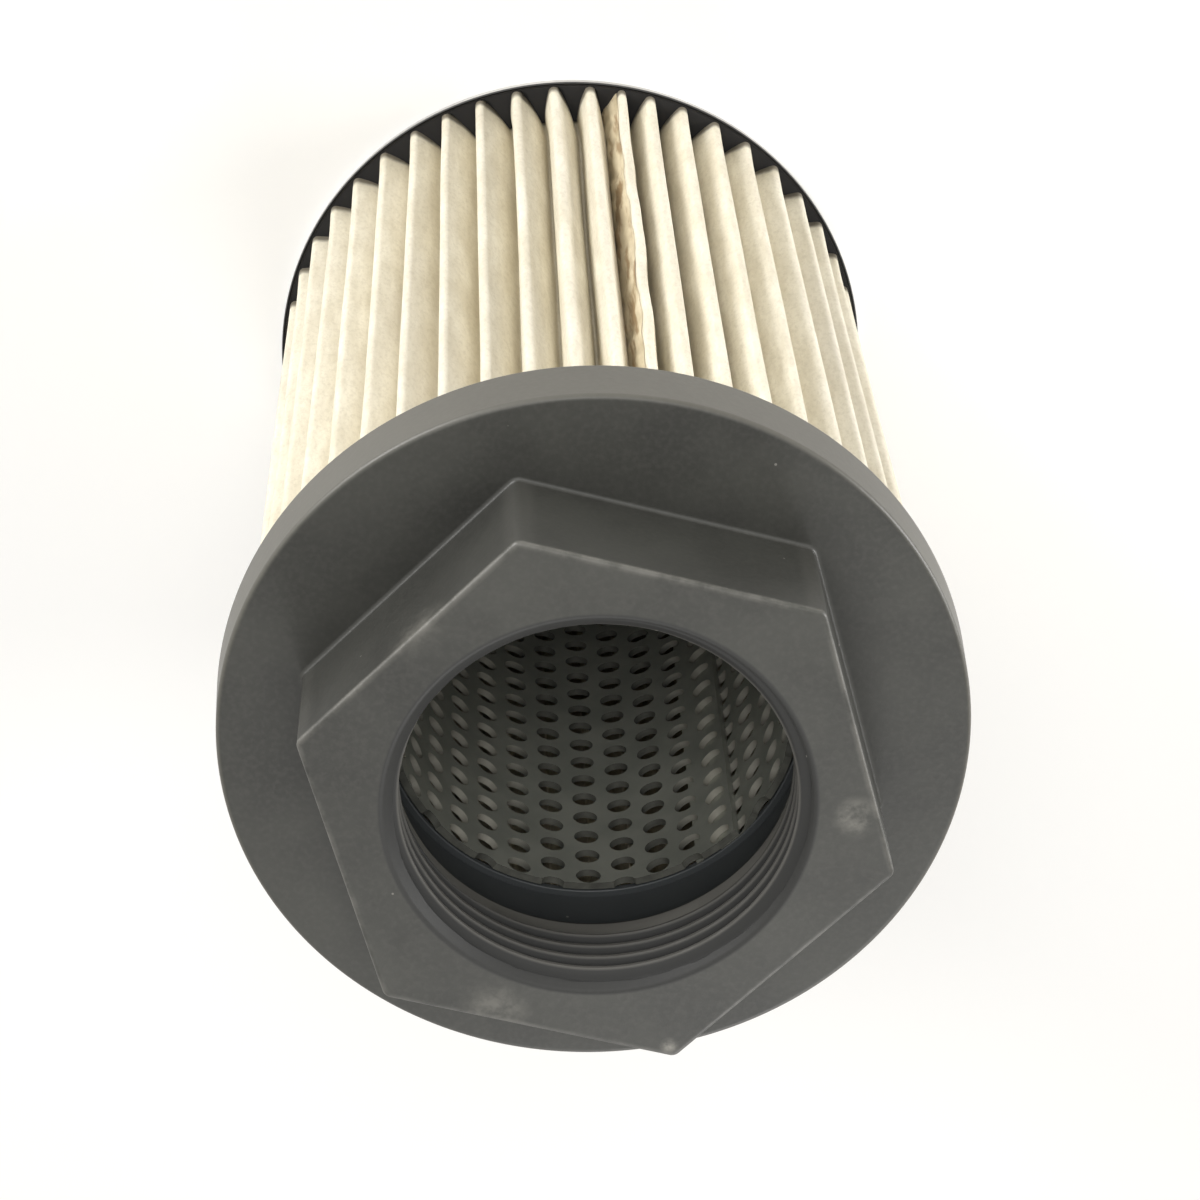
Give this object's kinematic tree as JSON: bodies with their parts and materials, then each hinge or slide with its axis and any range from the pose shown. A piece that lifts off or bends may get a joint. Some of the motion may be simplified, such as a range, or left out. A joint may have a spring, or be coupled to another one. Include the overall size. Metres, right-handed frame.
{
  "type": "suction filter",
  "caption": "Pleated mesh suction filter: hexagon head with a threaded mouth on a round flange, perforated core tube, and a shallow end cap.",
  "frame": {"origin": "centre of the end cap's underside, on the axis", "axes": "+Z along the axis, up through the threaded head; +X through a corner of the hexagon, so flats face +Y and -Y"},
  "size_m": [0.088, 0.088, 0.129],
  "materials": {
    "head_plastic": "matt, glass-filled",
    "cap_steel": "thin pressed sheet, plated",
    "tube_steel": "dull dark coated sheet",
    "wire_mesh": "fine woven wire, matt",
    "glue": "hard tan adhesive",
    "resin": "poured black resin"
  },
  "bodies": {
    "root": {"threaded_head": "head_plastic", "end_cap": "cap_steel", "core_tube": "tube_steel", "pleated_mesh": "wire_mesh", "seam_glue": "glue", "upper_resin": "resin", "lower_resin": "resin"}
  },
  "joints": []
}
